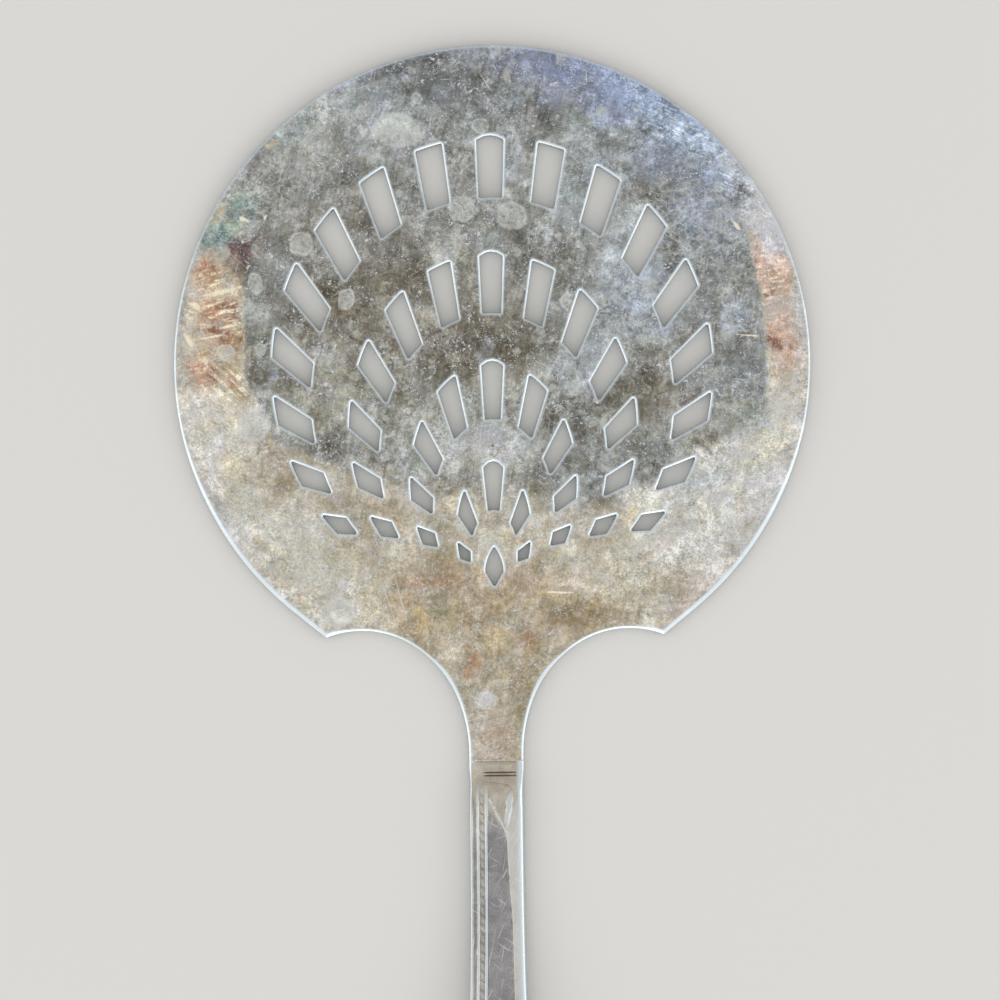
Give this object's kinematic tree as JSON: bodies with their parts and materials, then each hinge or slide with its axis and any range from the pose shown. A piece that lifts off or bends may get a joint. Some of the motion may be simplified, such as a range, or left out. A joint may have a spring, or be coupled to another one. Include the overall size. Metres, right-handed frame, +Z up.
{
  "type": "tomato server",
  "caption": "Flat round serving utensil with a fan of drain slots, pointed shoulders, a narrow collared neck and a long handle that widens to a rounded tail.",
  "frame": {"origin": "under the middle of the whole server, at the level of the blade's underside", "axes": "+Y from the handle's tail towards the blade, +Z up out of the serving face, +X to the right"},
  "size_m": [0.08, 0.2, 0.0142],
  "materials": {
    "plated_blade": "satin",
    "plated_handle": "satin",
    "hard_solder": "satin"
  },
  "bodies": {
    "root": {"pierced_blade": "plated_blade", "handle": "plated_handle", "solder_seam": "hard_solder"}
  },
  "joints": []
}
